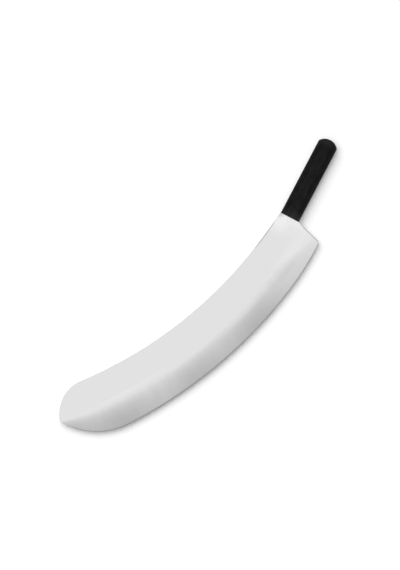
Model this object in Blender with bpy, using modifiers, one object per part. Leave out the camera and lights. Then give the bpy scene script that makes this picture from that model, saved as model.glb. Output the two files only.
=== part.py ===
"""Curved mincing knife with one handle, lying flat on its side.

A ground steel blade runs on into a full tang. Two moulded scales cover the tang, and hidden pins through
the tang locate them. Metres, +Z up. +X runs along the blade from its tip to its heel, and the cutting edge
faces -Y. The origin is at the middle of the knife's footprint, on the surface that the handle rests on.
"""

import math

import bmesh
import bpy
from mathutils import Vector

# Blade outline, seen square to its flat. The edge meets the nose at the tip corner, and the back at the heel.
BLADE_LENGTH = 0.506            # tip corner to heel corner, along the blade
BLADE_WIDTH = 0.0923            # edge to spine, from the belly's lowest level to the spine's
BELLY_STATION = 0.189           # tip corner to the lowest point of the edge, along the blade
BELLY_DROP = 0.0715             # tip corner down to that point
EDGE_RADIUS = 0.757             # long sweep of the edge
FORE_EDGE_RADIUS = 0.1145       # tighter sweep from the tip corner into the long one
AFT_EDGE_RADIUS = 0.46          # tighter sweep from the long one up to the heel corner
HEEL_LIFT = 0.0033              # how far that sweep lifts the heel corner above the long one
SPINE_DIP_STATION = 0.206       # tip corner to the lowest point of the spine, along the blade
NOSE_RADIUS = 0.056             # round nose from the spine down to the tip corner
NECK_LENGTH = 0.0486            # straight end of the spine, up to the handle
HEEL_HEIGHT = 0.0458            # heel corner up to the handle's lower corner
HEEL_RAKE = 0.0091              # heel corner back to the handle's lower corner
HEEL_HOLLOW_RADIUS = 0.5        # slight hollow of the blade's back, from the handle to the grind
HEEL_CORNER_RADIUS = 0.005

# Blade section. Both sides are ground alike, with a soft shoulder, down to a narrow cutting bevel.
BLADE_THICKNESS = 0.003
THICKNESS_BEHIND_EDGE = 0.0007  # left by the grind, before the cutting bevel
EDGE_THICKNESS = 0.00015
CUTTING_BEVEL_WIDTH = 0.0015
CUTTING_BEVEL_DEPTH = 0.0007    # most that the cutting bevel takes off one side
GRIND_WIDTH_FORE = 0.043
GRIND_WIDTH_AFT = 0.038
GRIND_WIDTH_HEEL = 0.016
GRIND_RISE_LENGTH = 0.115       # edge length over which the grind widens from nothing at the tip corner
GRIND_TAPER_LENGTH = 0.36       # edge length over which it narrows from its fore to its aft width
GRIND_RUNOUT_LENGTH = 0.075     # edge length over which it narrows to its width at the heel
GRIND_FADE_LENGTH = 0.15        # edge length over which it gets shallower towards the heel
GRIND_HEEL_FADE = 0.7           # share of its depth that is gone at the heel
GRIND_RISE_POWER = 0.7
GRIND_DEPTH_POWER = 1.25        # a narrower ground face is shallower too
GRIND_CURVE_POWER = 1.5         # the ground face steepens towards the edge

# Handle, flush with the blade's neck on both sides. Its tang has the same outline.
HANDLE_ANGLE = math.radians(27.7)   # from the blade's length up to the handle's
HANDLE_LENGTH = 0.140           # front end to the butt's furthest point
HANDLE_WIDTH = 0.0326
BUTT_CROWN = 0.0083             # how far the arched butt stands past its corners
SCALE_THICKNESS = 0.0095        # at the flat land along the middle
LAND_WIDTH = 0.010
SIDE_HEIGHT = 0.005             # height that a scale's crown comes down to at its sides
RIM_ROUND = 0.0012              # rounding along a scale's outer rim and at the handle's corners

# Pins, blind in both scales and spaced evenly between the first and the last.
PIN_COUNT = 3
PIN_RADIUS = 0.0025
FRONT_PIN_INSET = 0.022
REAR_PIN_INSET = 0.030
PIN_COVER = 0.0035              # plastic left over a pin's end

FIT_GAP = 0.0003                # clearance between any two pieces that touch

# Smoothness of the curved stretches, as numbers of straight steps.
FORE_EDGE_STEPS = 18
EDGE_STEPS = 32
AFT_EDGE_STEPS = 8
CORNER_STEPS = 4
SPINE_STEPS = 28
NOSE_STEPS = 14
HEEL_STEPS = 5
BUTT_STEPS = 12
CROWN_STEPS = 5
RIM_STEPS = 3
PIN_SIDES = 24
GRIND_FRACTIONS = (0.0, 0.08, 0.22, 0.42, 0.7, 1.0)

# Sizes that follow from the ones above.
HALF_BLADE = BLADE_THICKNESS / 2
HALF_HANDLE = HALF_BLADE + FIT_GAP + SCALE_THICKNESS
PIN_HOLE_DEPTH = SCALE_THICKNESS - PIN_COVER
PIN_HOLE_RADIUS = PIN_RADIUS + FIT_GAP
FULL_GRIND_DEPTH = (BLADE_THICKNESS - THICKNESS_BEHIND_EDGE) / 2
CUTTER_MARGIN = 0.01            # how far a cutter runs past what it cuts
SHARP_ANGLE = math.radians(30)  # faces that meet at more than this make a corner
LEVEL_ANGLE = math.radians(0.5)  # faces that meet at less than this are one face
SAME_PLACE = 0.00005            # points closer than this are one point

STEEL = (0.76, 0.76, 0.76, 1.0)
PIN_STEEL = (0.55, 0.55, 0.56, 1.0)
BLACK_PLASTIC = (0.012, 0.012, 0.012, 1.0)


def clear_scene():
    """Removes whatever the file holds."""
    for item in list(bpy.data.objects):
        bpy.data.objects.remove(item, do_unlink=True)


def smooth_step(value):
    """Rises from 0 to 1 with level ends."""
    share = min(1.0, max(0.0, value))
    return share * share * (3 - 2 * share)


def circles_meet(centre_a, radius_a, centre_b, radius_b):
    """Gives the crossing of two circles that lies to the right of the line from a to b."""
    line = centre_b - centre_a
    distance = line.length
    along = (radius_a ** 2 - radius_b ** 2 + distance ** 2) / (2 * distance)
    aside = math.sqrt(radius_a ** 2 - along ** 2)
    forward = line / distance
    right = Vector((forward.y, -forward.x))
    return centre_a + forward * along + right * aside


def arc(centre, start, end, steps):
    """Gives points along the shorter arc from start to end, both included."""
    first = start - centre
    turn = first.angle_signed(end - centre)
    points = []
    for step in range(steps + 1):
        angle = -turn * step / steps
        cosine = math.cos(angle)
        sine = math.sin(angle)
        points.append(centre + Vector((first.x * cosine - first.y * sine, first.x * sine + first.y * cosine)))
    return points


def rounded_corner(corner, towards_a, towards_b, radius):
    """Gives points round a corner, from radius before it towards a to radius past it towards b."""
    start = corner + (towards_a - corner).normalized() * radius
    end = corner + (towards_b - corner).normalized() * radius
    points = []
    for step in range(CORNER_STEPS + 1):
        share = step / CORNER_STEPS
        points.append(start * (1 - share) ** 2 + corner * 2 * share * (1 - share) + end * share ** 2)
    return points


def handle_front_corners():
    """Gives the lower and upper corners of the handle's front end, in the handle's own frame."""
    return Vector((0, -HANDLE_WIDTH / 2)), Vector((0, HANDLE_WIDTH / 2))


def butt_arc():
    """Gives the arched butt from its lower corner to its upper one, in the handle's own frame."""
    half = HANDLE_WIDTH / 2
    radius = (half ** 2 + BUTT_CROWN ** 2) / (2 * BUTT_CROWN)
    corner_reach = HANDLE_LENGTH - BUTT_CROWN
    centre = Vector((HANDLE_LENGTH - radius, 0))
    return arc(centre, Vector((corner_reach, -half)), Vector((corner_reach, half)), BUTT_STEPS)


class Outline:
    """Works out the knife's plan in the blade's own plane, with the tip corner at (0, 0)."""

    def __init__(self):
        self.tip = Vector((0, 0))
        self.edge_centre = Vector((BELLY_STATION, EDGE_RADIUS - BELLY_DROP))
        rise = math.sqrt(EDGE_RADIUS ** 2 - (BLADE_LENGTH - BELLY_STATION) ** 2)
        self.heel = Vector((BLADE_LENGTH, self.edge_centre.y - rise + HEEL_LIFT))

        self.along = Vector((math.cos(HANDLE_ANGLE), math.sin(HANDLE_ANGLE)))
        self.across = Vector((-self.along.y, self.along.x))
        self.lower_corner = self.heel + Vector((-HEEL_RAKE, HEEL_HEIGHT))
        self.upper_corner = self.lower_corner + self.across * HANDLE_WIDTH
        self.handle_front = (self.lower_corner + self.upper_corner) / 2

        # The spine is an arc, level at its dip, whose tangent of the neck's length ends at the handle.
        dip = Vector((SPINE_DIP_STATION, BLADE_WIDTH - BELLY_DROP))
        reach = self.upper_corner - dip
        self.spine_radius = (reach.length_squared - NECK_LENGTH ** 2) / (2 * reach.y)
        self.spine_centre = dip + Vector((0, self.spine_radius))
        self.neck_start = circles_meet(self.spine_centre, self.spine_radius, self.upper_corner, NECK_LENGTH)

        # The nose arc passes through the tip corner and touches the spine arc from below.
        touching = self.spine_radius + NOSE_RADIUS
        self.nose_centre = circles_meet(self.tip, NOSE_RADIUS, self.spine_centre, touching)
        spine_to_nose = (self.nose_centre - self.spine_centre).normalized()
        self.spine_start = self.spine_centre + spine_to_nose * self.spine_radius

        # The fore edge arc passes through the tip corner and runs into the long sweep.
        inner = EDGE_RADIUS - FORE_EDGE_RADIUS
        self.fore_centre = circles_meet(self.tip, FORE_EDGE_RADIUS, self.edge_centre, inner)
        sweep_direction = (self.fore_centre - self.edge_centre).normalized()
        self.sweep_start = self.edge_centre + sweep_direction * EDGE_RADIUS

        # The aft edge arc leaves the long sweep and passes through the heel corner.
        inner = EDGE_RADIUS - AFT_EDGE_RADIUS
        self.aft_centre = circles_meet(self.edge_centre, inner, self.heel, AFT_EDGE_RADIUS)
        sweep_direction = (self.aft_centre - self.edge_centre).normalized()
        self.sweep_end = self.edge_centre + sweep_direction * EDGE_RADIUS

    def edge(self):
        """Gives the cutting edge from the tip corner round the heel corner."""
        fore = arc(self.fore_centre, self.tip, self.sweep_start, FORE_EDGE_STEPS)
        sweep = arc(self.edge_centre, self.sweep_start, self.sweep_end, EDGE_STEPS)
        aft = arc(self.aft_centre, self.sweep_end, self.heel, AFT_EDGE_STEPS)
        corner = rounded_corner(self.heel, aft[-2], self.lower_corner, HEEL_CORNER_RADIUS)
        return fore[:-1] + sweep[:-1] + aft[:-1] + corner

    def heel_back(self, grind_end):
        """Gives the blade's slightly hollow back, from the grind's end up to the handle."""
        half = (self.lower_corner - grind_end).length / 2
        height = math.sqrt(HEEL_HOLLOW_RADIUS ** 2 - half ** 2)
        line = (self.lower_corner - grind_end).normalized()
        centre = (self.lower_corner + grind_end) / 2 + Vector((line.y, -line.x)) * height
        return arc(centre, grind_end, self.lower_corner, HEEL_STEPS)

    def on_handle(self, point):
        """Takes a point from the handle's own frame, +X from its front end to the butt, to the blade's."""
        return self.handle_front + self.along * point.x + self.across * point.y

    def tang(self):
        """Gives the tang from the handle's lower front corner, round the butt, to its upper one."""
        lower_front, upper_front = handle_front_corners()
        butt = butt_arc()
        lower_round = rounded_corner(butt[0], lower_front, butt[1], RIM_ROUND)
        upper_round = rounded_corner(butt[-1], butt[-2], upper_front, RIM_ROUND)
        points = [lower_front] + lower_round + butt[1:-1] + upper_round + [upper_front]
        return [self.on_handle(point) for point in points]

    def spine(self):
        """Gives the spine from the neck's start down to the nose, and the nose down to the tip corner."""
        spine = arc(self.spine_centre, self.neck_start, self.spine_start, SPINE_STEPS)
        nose = arc(self.nose_centre, self.spine_start, self.tip, NOSE_STEPS)
        return spine + nose[1:-1]


def grind_width(reached, total):
    """Gives the ground face's width after a length of edge from the tip corner."""
    rise = math.sin(math.pi / 2 * min(1.0, reached / GRIND_RISE_LENGTH)) ** GRIND_RISE_POWER
    width = GRIND_WIDTH_FORE
    width += (GRIND_WIDTH_AFT - width) * smooth_step(reached / GRIND_TAPER_LENGTH)
    width += (GRIND_WIDTH_HEEL - width) * runout(reached, total)
    return width * rise


def runout(reached, total):
    """Gives how far the grind has narrowed towards the heel, from 0 to 1."""
    return smooth_step(1 - (total - reached) / GRIND_RUNOUT_LENGTH)


def grind_depth(width, reached, total):
    """Gives how deep a ground face of that width is next to the cutting bevel."""
    fade = GRIND_HEEL_FADE * smooth_step(1 - (total - reached) / GRIND_FADE_LENGTH)
    return FULL_GRIND_DEPTH * (1 - fade) * min(1.0, width / GRIND_WIDTH_AFT) ** GRIND_DEPTH_POWER


def ground_sections(outline):
    """Gives a section for each step along the edge: points from the grind line down to the edge."""
    edge = outline.edge()
    lengths = [0.0]
    for before, after in zip(edge, edge[1:]):
        lengths.append(lengths[-1] + (after - before).length)
    back = (outline.lower_corner - outline.heel).normalized()
    sections = []
    for index, point in enumerate(edge):
        before = edge[max(index - 1, 0)]
        after = edge[min(index + 1, len(edge) - 1)]
        tangent = (after - before).normalized()
        normal = Vector((-tangent.y, tangent.x))
        inward = normal.lerp(back, runout(lengths[index], lengths[-1])).normalized()
        width = grind_width(lengths[index], lengths[-1])
        depth = grind_depth(width, lengths[index], lengths[-1])
        bevel_width = min(CUTTING_BEVEL_WIDTH, width / 2)
        bevel_depth = CUTTING_BEVEL_DEPTH * bevel_width / CUTTING_BEVEL_WIDTH
        ground = width - bevel_width
        section = []
        for share in GRIND_FRACTIONS:
            place = point + inward * (width - ground * share)
            section.append(place.to_3d() + Vector((0, 0, HALF_BLADE - depth * share ** GRIND_CURVE_POWER)))
        edge_height = max(EDGE_THICKNESS / 2, HALF_BLADE - depth - bevel_depth)
        section.append(point.to_3d() + Vector((0, 0, edge_height)))
        sections.append(section)
    return sections


def new_object(name, mesh, collection, material=None):
    """Wraps a mesh in an object, in one collection, with one material."""
    item = bpy.data.objects.new(name, mesh)
    collection.objects.link(item)
    if material:
        mesh.materials.clear()
        mesh.materials.append(material)
    return item


def mesh_from(builder, name):
    """Turns a bmesh into a mesh."""
    mesh = bpy.data.meshes.new(name)
    builder.to_mesh(mesh)
    builder.free()
    return mesh


def plate_mesh(points, height, name):
    """Gives a flat plate of an outline, from z = 0 up to a height."""
    builder = bmesh.new()
    face = builder.faces.new([builder.verts.new((point.x, point.y, 0)) for point in points])
    raised = bmesh.ops.extrude_face_region(builder, geom=[face])["geom"]
    moved = [item for item in raised if isinstance(item, bmesh.types.BMVert)]
    bmesh.ops.translate(builder, verts=moved, vec=(0, 0, height))
    bmesh.ops.recalc_face_normals(builder, faces=builder.faces)
    return mesh_from(builder, name)


def cylinder_mesh(radius, length, name):
    """Gives a cylinder along Z, centred on the origin."""
    builder = bmesh.new()
    bmesh.ops.create_cone(builder, cap_ends=True, segments=PIN_SIDES, radius1=radius, radius2=radius,
                          depth=length)
    mesh = mesh_from(builder, name)
    mesh.shade_smooth()
    mesh.set_sharp_from_angle(angle=SHARP_ANGLE)
    return mesh


def add_boolean(item, cutter):
    """Cuts one object by another."""
    cut = item.modifiers.new(cutter.name, "BOOLEAN")
    cut.operation = "DIFFERENCE"
    cut.solver = "EXACT"
    cut.object = cutter


def applied_mesh(item, name):
    """Gives an object's evaluated mesh, in the object's own space."""
    bpy.context.view_layer.update()
    evaluated = item.evaluated_get(bpy.context.evaluated_depsgraph_get())
    mesh = bpy.data.meshes.new_from_object(evaluated)
    mesh.name = name
    return mesh


def hide_cutter(cutter):
    """Marks an object as a cutter, which isn't part of the knife."""
    cutter.hide_render = True
    cutter.display_type = "WIRE"


def pin_stations():
    """Gives the pins' distances from the handle's front end."""
    last = HANDLE_LENGTH - REAR_PIN_INSET
    spacing = (last - FRONT_PIN_INSET) / (PIN_COUNT - 1)
    return [FRONT_PIN_INSET + spacing * index for index in range(PIN_COUNT)]


def half_blade_mesh(outline):
    """Gives the upper half of the blade and tang, open at its middle plane.

    The ground face is a loft between sections that all differ, so its faces are made one strip at a time.
    """
    sections = ground_sections(outline)
    builder = bmesh.new()

    def ring(section):
        return [builder.verts.new(point) for point in section]

    corner = builder.verts.new((outline.tip.x, outline.tip.y, HALF_BLADE))
    rows = [ring(section) for section in sections[1:]]
    for upper, lower in zip(rows[0], rows[0][1:]):
        builder.faces.new((corner, upper, lower))
    for row, following in zip(rows, rows[1:]):
        for column in range(len(row) - 1):
            builder.faces.new((row[column], following[column], following[column + 1], row[column + 1]))

    grind_end = rows[-1][0].co.to_2d()
    flat_outline = outline.heel_back(grind_end)[1:-1] + outline.tang() + outline.spine()
    flat_rim = [builder.verts.new((point.x, point.y, HALF_BLADE)) for point in flat_outline]
    grind_line = [corner] + [row[0] for row in rows]
    builder.faces.new(grind_line + flat_rim)

    # The wall runs down to the middle plane from the flat's rim, the heel's section and the edge.
    rim = flat_rim + [corner] + [row[-1] for row in rows] + list(reversed(rows[-1][:-1]))
    feet = [builder.verts.new((vert.co.x, vert.co.y, 0)) for vert in rim]
    for index, vert in enumerate(rim):
        following = (index + 1) % len(rim)
        builder.faces.new((vert, rim[following], feet[following], feet[index]))
    bmesh.ops.recalc_face_normals(builder, faces=builder.faces)
    return mesh_from(builder, "blade")


def build_blade(outline, collection, cutters, holder, steel):
    """Builds the blade and its tang, with a hole in the tang for each pin."""
    blade = new_object("blade", half_blade_mesh(outline), collection, steel)
    blade.parent = holder
    blade.location.z = HALF_HANDLE
    mirror = blade.modifiers.new("other_side", "MIRROR")
    mirror.use_axis = (False, False, True)
    mirror.use_clip = True
    mirror.merge_threshold = SAME_PLACE
    drill = cylinder_mesh(PIN_HOLE_RADIUS, BLADE_THICKNESS + 2 * CUTTER_MARGIN, "tang_drill")
    for index, station in enumerate(pin_stations()):
        cutter = new_object(f"tang_drill_{index + 1}", drill, cutters)
        cutter.parent = holder
        place = outline.handle_front + outline.along * station
        cutter.location = (place.x, place.y, HALF_HANDLE)
        hide_cutter(cutter)
        add_boolean(blade, cutter)


def scale_outline():
    """Gives a scale's plan in the handle's own frame."""
    lower_front, upper_front = handle_front_corners()
    return [upper_front, lower_front] + butt_arc()


def crown_cutter_mesh(side):
    """Gives the waste beside a scale's flat land, above its crown, as a bar along the handle."""
    half_land = LAND_WIDTH / 2
    run = HANDLE_WIDTH / 2 - half_land
    drop = SCALE_THICKNESS - SIDE_HEIGHT
    radius = (run ** 2 + drop ** 2) / (2 * drop)
    side_angle = math.asin(run / radius)
    profile = []
    for step in range(CROWN_STEPS + 1):
        angle = side_angle * step / CROWN_STEPS
        profile.append((half_land + radius * math.sin(angle), SCALE_THICKNESS - radius * (1 - math.cos(angle))))
    outer = HANDLE_WIDTH / 2 + CUTTER_MARGIN
    slope = math.tan(side_angle)
    profile.append((outer, profile[-1][1] - CUTTER_MARGIN * slope))
    profile.append((outer, SCALE_THICKNESS + CUTTER_MARGIN))
    profile.append((half_land, SCALE_THICKNESS + CUTTER_MARGIN))
    builder = bmesh.new()
    face = builder.faces.new([builder.verts.new((-CUTTER_MARGIN, side * y, z)) for y, z in profile])
    drawn = bmesh.ops.extrude_face_region(builder, geom=[face])["geom"]
    moved = [item for item in drawn if isinstance(item, bmesh.types.BMVert)]
    bmesh.ops.translate(builder, verts=moved, vec=(HANDLE_LENGTH + 2 * CUTTER_MARGIN, 0, 0))
    bmesh.ops.recalc_face_normals(builder, faces=builder.faces)
    return mesh_from(builder, "crown_cutter")


def mark_rim(mesh):
    """Marks the edges to round: the outer rim and the four upright corners."""
    builder = bmesh.new()
    builder.from_mesh(mesh)
    bmesh.ops.dissolve_limit(builder, angle_limit=LEVEL_ANGLE, verts=builder.verts, edges=builder.edges)
    weight = builder.edges.layers.float.new("bevel_weight_edge")
    side = HANDLE_WIDTH / 2 - SAME_PLACE
    for edge in builder.edges:
        first, second = (vert.co for vert in edge.verts)
        is_sharp = edge.calc_face_angle(0) > SHARP_ANGLE
        is_rim = min(first.z, second.z) > SIDE_HEIGHT / 2
        is_upright = abs(first.z - second.z) > SIDE_HEIGHT / 2 and min(abs(first.y), abs(second.y)) > side
        if is_sharp and (is_rim or is_upright):
            edge[weight] = 1.0
    builder.to_mesh(mesh)
    builder.free()


def scale_mesh(cutters):
    """Gives a scale, its inner face at z = 0, crowned on top, with a blind hole for each pin."""
    blank = new_object("scale_blank", plate_mesh(scale_outline(), SCALE_THICKNESS, "scale_blank"), cutters)
    hide_cutter(blank)
    for side in (-1, 1):
        cutter = new_object("crown_cutter", crown_cutter_mesh(side), cutters)
        hide_cutter(cutter)
        add_boolean(blank, cutter)
    drill = cylinder_mesh(PIN_HOLE_RADIUS, 2 * PIN_HOLE_DEPTH, "scale_drill")
    for station in pin_stations():
        cutter = new_object("scale_drill", drill, cutters)
        cutter.location.x = station
        hide_cutter(cutter)
        add_boolean(blank, cutter)
    mesh = applied_mesh(blank, "handle_scale")
    mark_rim(mesh)
    return mesh


def build_scales(outline, collection, cutters, holder, plastic):
    """Builds the two scales. The lower one is the same moulding, turned over."""
    mesh = scale_mesh(cutters)
    lift = HALF_BLADE + FIT_GAP
    for name, side, roll in (("handle_scale_upper", 1, 0.0), ("handle_scale_lower", -1, math.pi)):
        scale = new_object(name, mesh, collection, plastic)
        scale.parent = holder
        scale.location = (outline.handle_front.x, outline.handle_front.y, HALF_HANDLE + side * lift)
        scale.rotation_euler = (roll, 0, HANDLE_ANGLE)
        rim = scale.modifiers.new("rim", "BEVEL")
        rim.limit_method = "WEIGHT"
        rim.width = RIM_ROUND
        rim.segments = RIM_STEPS


def build_pins(outline, collection, holder, steel):
    """Builds the pins that pass through the tang into both scales."""
    mesh = cylinder_mesh(PIN_RADIUS, BLADE_THICKNESS + 2 * PIN_HOLE_DEPTH, "tang_pin")
    for index, station in enumerate(pin_stations()):
        pin = new_object(f"tang_pin_{index + 1}", mesh, collection, steel)
        pin.parent = holder
        place = outline.handle_front + outline.along * station
        pin.location = (place.x, place.y, HALF_HANDLE)


def footprint_centre(outline):
    """Gives the middle of the plan's bounding box."""
    points = outline.edge() + outline.tang() + outline.spine()
    middle_x = (min(point.x for point in points) + max(point.x for point in points)) / 2
    middle_y = (min(point.y for point in points) + max(point.y for point in points)) / 2
    return Vector((middle_x, middle_y))


def make_material(name, colour, metallic, roughness):
    """Makes a plain material."""
    material = bpy.data.materials.new(name)
    material.use_nodes = True
    shader = material.node_tree.nodes["Principled BSDF"]
    shader.inputs["Base Color"].default_value = colour
    shader.inputs["Metallic"].default_value = metallic
    shader.inputs["Roughness"].default_value = roughness
    return material


def main():
    clear_scene()
    knife = bpy.data.collections.new("mincing_knife")
    cutters = bpy.data.collections.new("cutters")
    bpy.context.scene.collection.children.link(knife)
    bpy.context.scene.collection.children.link(cutters)

    steel = make_material("blade_steel", STEEL, 1.0, 0.35)
    pin_steel = make_material("pin_steel", PIN_STEEL, 1.0, 0.3)
    plastic = make_material("handle_plastic", BLACK_PLASTIC, 0.0, 0.45)

    outline = Outline()
    centre = footprint_centre(outline)
    holder = bpy.data.objects.new("knife_frame", None)
    knife.objects.link(holder)
    holder.location = (-centre.x, -centre.y, 0)

    build_blade(outline, knife, cutters, holder, steel)
    build_scales(outline, knife, cutters, holder, plastic)
    build_pins(outline, knife, holder, pin_steel)


main()
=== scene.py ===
"""Dresses the curved mincing knife for its picture: finer steel and plastic pieces, floor, light and camera.

Every piece is in metres in the frame of the CAD model. The knife lies flat, with its cutting edge towards
-Y and its handle at the +X end.
"""

import math

import bmesh
import bpy
from mathutils import Euler, Matrix, Vector


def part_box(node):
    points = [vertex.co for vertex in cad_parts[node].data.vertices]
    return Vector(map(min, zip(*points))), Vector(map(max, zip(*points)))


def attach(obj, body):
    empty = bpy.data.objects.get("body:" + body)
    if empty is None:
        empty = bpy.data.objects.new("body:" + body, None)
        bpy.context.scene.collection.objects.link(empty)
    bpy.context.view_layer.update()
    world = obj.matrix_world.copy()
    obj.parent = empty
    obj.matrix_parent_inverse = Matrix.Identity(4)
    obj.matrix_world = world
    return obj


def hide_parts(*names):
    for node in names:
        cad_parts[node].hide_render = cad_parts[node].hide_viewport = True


# Blade outline and section, as in the CAD source.
BLADE_LENGTH = 0.506
BLADE_WIDTH = 0.0923
BELLY_STATION = 0.189
BELLY_DROP = 0.0715
EDGE_RADIUS = 0.757
FORE_EDGE_RADIUS = 0.1145
AFT_EDGE_RADIUS = 0.46
HEEL_LIFT = 0.0033
SPINE_DIP_STATION = 0.206
NOSE_RADIUS = 0.056
NECK_LENGTH = 0.0486
HEEL_HEIGHT = 0.0458
HEEL_RAKE = 0.0091
HEEL_HOLLOW_RADIUS = 0.5
HEEL_CORNER_RADIUS = 0.005
BLADE_THICKNESS = 0.003
THICKNESS_BEHIND_EDGE = 0.0007
EDGE_THICKNESS = 0.00015
CUTTING_BEVEL_WIDTH = 0.0015
CUTTING_BEVEL_DEPTH = 0.0007
GRIND_WIDTH_FORE = 0.043
GRIND_WIDTH_AFT = 0.038
GRIND_WIDTH_HEEL = 0.016
GRIND_RISE_LENGTH = 0.115
GRIND_TAPER_LENGTH = 0.36
GRIND_RUNOUT_LENGTH = 0.075
GRIND_FADE_LENGTH = 0.15
GRIND_HEEL_FADE = 0.7
GRIND_RISE_POWER = 0.7
GRIND_DEPTH_POWER = 1.25
GRIND_CURVE_POWER = 1.5

# Handle, as in the CAD source.
HANDLE_ANGLE = math.radians(27.7)
HANDLE_LENGTH = 0.140
HANDLE_WIDTH = 0.0326
BUTT_CROWN = 0.0083
SCALE_THICKNESS = 0.0095
LAND_WIDTH = 0.010
SIDE_HEIGHT = 0.005
RIM_ROUND = 0.0012
PIN_COUNT = 3
PIN_RADIUS = 0.0025
FRONT_PIN_INSET = 0.022
REAR_PIN_INSET = 0.030
PIN_COVER = 0.0035
FIT_GAP = 0.0003

# Details that only the visual model has.
SPINE_EASE = 0.0003             # rounding of the blade's edges away from the hand
TIP_EASE = 0.00002              # the same at the tip corner
TIP_EASE_RUN = 0.006            # length of the nose over which it fades to that
TIP_BEVEL_RISE = 0.030          # length of edge from the tip corner over which the cutting bevel widens
NECK_EASE = 0.0014              # rounding of the neck and the back, where a hand touches the steel
NECK_EASE_START = (0.014, 0.023)    # spine length from the handle over which that rounding begins
NECK_EASE_END = (0.056, 0.076)      # and over which it ends
BACK_EASE_RUN = 0.014           # length of the back over which its rounding narrows before the handle
HEEL_EASE_SHARE = 0.9           # share of the steel's height that the heel corner's rounding takes at most
TANG_EASE = 0.00015             # rounding of the tang, and of the back where it meets the handle
TANG_EASE_RUN = 0.0008          # length inside the handle over which the rounding turns into the tang's
FRONT_CORNER_ROUND = 0.0005     # handle's front corners, in plan
FRONT_ROLL_LENGTH = 0.012       # the scale's front end rolls down over this length
FRONT_ROLL_DROP = 0.0016
BUTT_ROLL_LENGTH = 0.008
BUTT_ROLL_DROP = 0.0014
SEAM_GAP = 0.00005              # between a scale and the tang, tighter than the CAD's clearance
MERGE_DISTANCE = 0.00001        # closer than this, the two halves of a mirrored piece are joined

HALF_BLADE = BLADE_THICKNESS / 2
HALF_HANDLE = HALF_BLADE + FIT_GAP + SCALE_THICKNESS
FULL_GRIND_DEPTH = (BLADE_THICKNESS - THICKNESS_BEHIND_EDGE) / 2
BUTT_RADIUS = ((HANDLE_WIDTH / 2) ** 2 + BUTT_CROWN ** 2) / (2 * BUTT_CROWN)
BUTT_CENTRE = HANDLE_LENGTH - BUTT_RADIUS       # of the butt's arch, from the handle's front end

# Smoothness, as numbers of straight steps.
FORE_EDGE_STEPS = 60
EDGE_STEPS = 140
AFT_EDGE_STEPS = 28
CORNER_STEPS = 8
SPINE_STEPS = 110
NECK_STEPS = 14
NOSE_STEPS = 56
HEEL_STEPS = 24
BUTT_STEPS = 40
GRIND_STEPS = 18
EASE_STEPS = 7                  # round the blade's rounded edges
HANDLE_STEPS = 26
HANDLE_STEP_GROWTH = 1.5        # how those steps lengthen from the front end on
BUTT_SIDE_STEPS = 8
CROWN_STEPS = 14
RIM_STEPS = 6                   # round a scale's rounded rim
PIN_SIDES = 48

# Places of the blade's finishes in its mesh.
SATIN, GROUND, BEVEL, RIM = range(4)

# Finishes, and the light and shade painted into some of them. A tone is a linear grey. A fade or spread is
# given by where it starts and where it ends, and a noise by the values of it that give the least and the
# most. Lengths along the edge start at the lowest point of its long sweep and grow towards the handle.
BLADE_TONE = 0.787
# The rim's darker tone is painted shade on the blade's rounded edges.
RIM_SHADE_TONE = 0.5
# The cutting bevel's darker tone is painted shade.
BEVEL_SHADE_TONE = 0.49
BEVEL_END_SHADE_TONE = 0.63           # lighter painted shade towards the tip and the heel
BEVEL_TIP_FADE = (-0.17, -0.10)     # along the edge
BEVEL_HEEL_FADE = (0.0, 0.30)
GROUND_DULLING_AND_SHADE = 0.31         # most that the ground face is darker than the flat, at mid-length, partly a duller finish and partly painted shade
TIP_DULLING_AND_SHADE = 1.35            # how that grows towards the tip
HEEL_DULLING_AND_SHADE = 0.31           # and shrinks towards the heel
TIP_FADE = (-0.13, -0.06)       # along the edge
HEEL_FADE = (0.19, 0.27)
GROUND_HALF_DEPTH = 0.0002      # ground away where half of that is reached
HEEL_HALF_DEPTH = 0.00007       # the same, towards the heel
BAND_SPACING = 0.125            # along the edge, between the bands where that darkening is deepest
BAND_START = -0.09              # middle of one of them
BAND_CONTRAST = 0.145
NEAR_PAINTED_HIGHLIGHT = 0.085        # painted highlight right by the handle
NEAR_FADE = (-0.016, -0.007)    # from the handle's front end
NECK_PAINTED_HIGHLIGHT = 0.13         # painted highlight further along the neck, strongest by the spine
NECK_FADE = (-0.042, -0.013)    # from the handle's front end
NECK_SPREAD = (-0.012, 0.008)   # from the handle's middle line towards the spine
NECK_LOW_SHARE = 0.3            # of that painted highlight, where the spread starts
RIDGE_PAINTED_HIGHLIGHT = 0.05        # painted highlight above the grind's end, towards the heel
RIDGE_FADE = (0.21, 0.28)       # along the edge
RIDGE_RISE = (EDGE_RADIUS - 0.050, EDGE_RADIUS - 0.034)     # from the centre of the edge's sweep
RIDGE_FALL = (EDGE_RADIUS - 0.030, EDGE_RADIUS - 0.018)
# Soft spots that make the steel lighter or darker, the first a painted highlight above the grind line and the
# last a painted shade in the corner by the handle's upper front. Columns: along the edge, in from its sweep,
# half-length, half-width, how much brighter.
SPOTS = (
    (-0.080, 0.0475, 0.110, 0.0060, 0.035),
    (0.165, 0.0315, 0.085, 0.0070, 0.070),
    (0.262, 0.0235, 0.042, 0.0100, -0.060),
    (0.339, 0.0807, 0.0125, 0.0110, -0.36),
)
PATCH_TONE = 0.012              # how much lighter or darker the ground face's faint patches are
PATCH_SIZE = (0.011, 0.03)      # along the edge and square to it
PATCH_NOISE = (0.3, 0.7)
SATIN_ROUGHNESS = 0.17
GROUND_ROUGHNESS = 0.2
ROUGHNESS_SPREAD = 0.06         # share by which it varies
ROUGHNESS_NOISE = (0.25, 0.75)
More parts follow.
